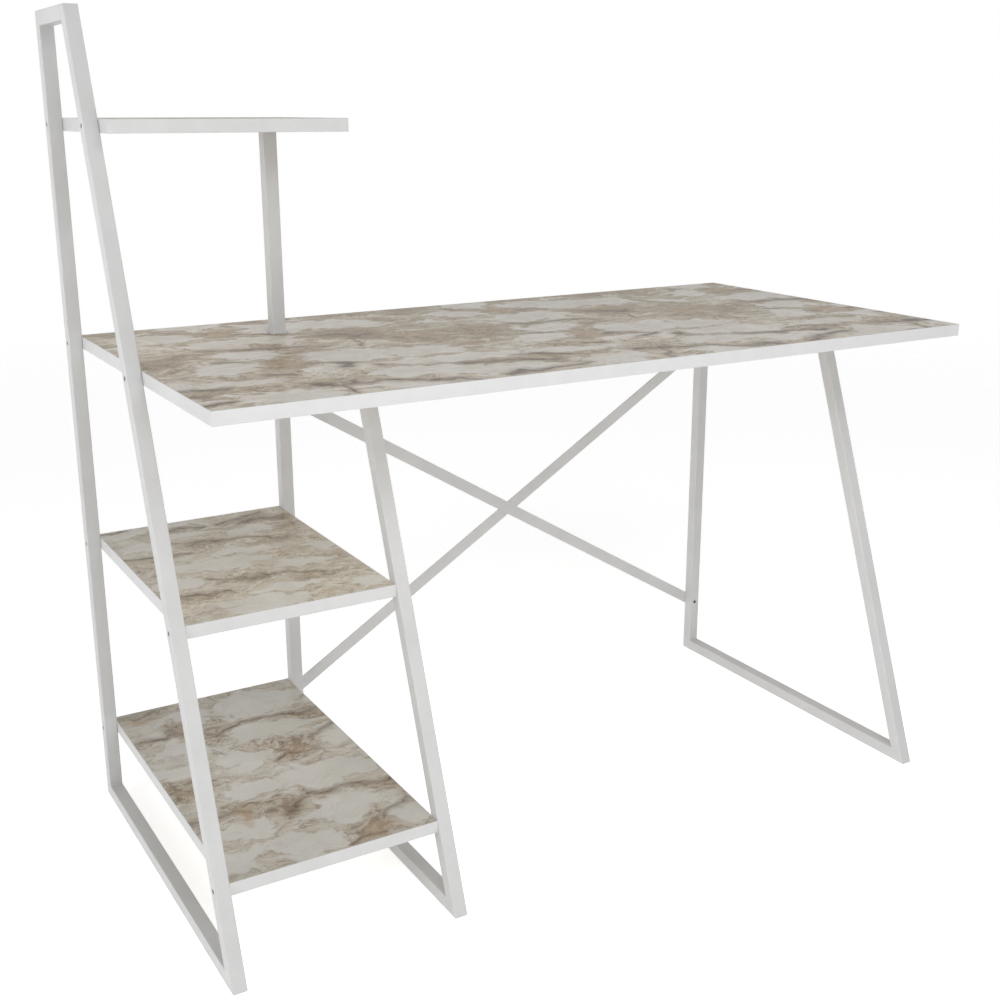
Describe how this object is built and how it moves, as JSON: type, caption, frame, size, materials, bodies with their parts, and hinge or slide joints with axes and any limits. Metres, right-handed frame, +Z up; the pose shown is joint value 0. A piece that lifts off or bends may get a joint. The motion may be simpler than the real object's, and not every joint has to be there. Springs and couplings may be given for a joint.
{
  "type": "writing desk",
  "caption": "Writing desk on trapezoid frames of square tube, with side shelves, a raised top shelf on a post and a cross brace behind.",
  "frame": {"origin": "on the floor, below the middle of the desk's length and depth", "axes": "+X to the right along the worktop for someone who sits at the desk, +Y to the back, +Z up"},
  "size_m": [1.22, 0.6056, 1.2],
  "materials": {
    "board_decor": "faced chipboard, pale marble decor with taupe clouds and thin veins, satin",
    "edge_band": "plain white edge band, satin",
    "frame_coat": "white powder coat, satin",
    "fastener": "zinc-plated steel"
  },
  "bodies": {
    "root": {"worktop_panel": "board_decor", "worktop_edge_band": "edge_band", "top_shelf_panel": "board_decor", "top_shelf_edge_band": "edge_band", "middle_shelf_panel": "board_decor", "middle_shelf_edge_band": "edge_band", "bottom_shelf_panel": "board_decor", "bottom_shelf_edge_band": "edge_band", "left_frame_rear_leg": "frame_coat", "left_frame_front_leg": "frame_coat", "left_frame_base_rail": "frame_coat", "left_frame_top_rail": "frame_coat", "inner_frame_rear_leg": "frame_coat", "inner_frame_front_leg": "frame_coat", "inner_frame_base_rail": "frame_coat", "inner_frame_top_rail": "frame_coat", "right_frame_rear_leg": "frame_coat", "right_frame_front_leg": "frame_coat", "right_frame_base_rail": "frame_coat", "right_frame_top_rail": "frame_coat", "brace_falling_bar": "frame_coat", "brace_rising_lower_bar": "frame_coat", "brace_rising_upper_bar": "frame_coat", "brace_bolts": "fastener", "brace_rivet_nuts": "fastener", "shelf_post_tube": "frame_coat", "shelf_post_foot_plate": "frame_coat", "shelf_post_plug": "fastener", "shelf_post_foot_bolt": "fastener", "shelf_post_stud": "fastener", "top_shelf_insert_nut": "fastener", "left_frame_worktop_screws": "fastener", "left_frame_top_shelf_screws": "fastener", "left_frame_middle_shelf_screws": "fastener", "left_frame_bottom_shelf_screws": "fastener", "inner_frame_middle_shelf_screws": "fastener", "inner_frame_bottom_shelf_screws": "fastener", "inner_frame_worktop_screws": "fastener", "right_frame_worktop_screws": "fastener"}
  },
  "joints": []
}
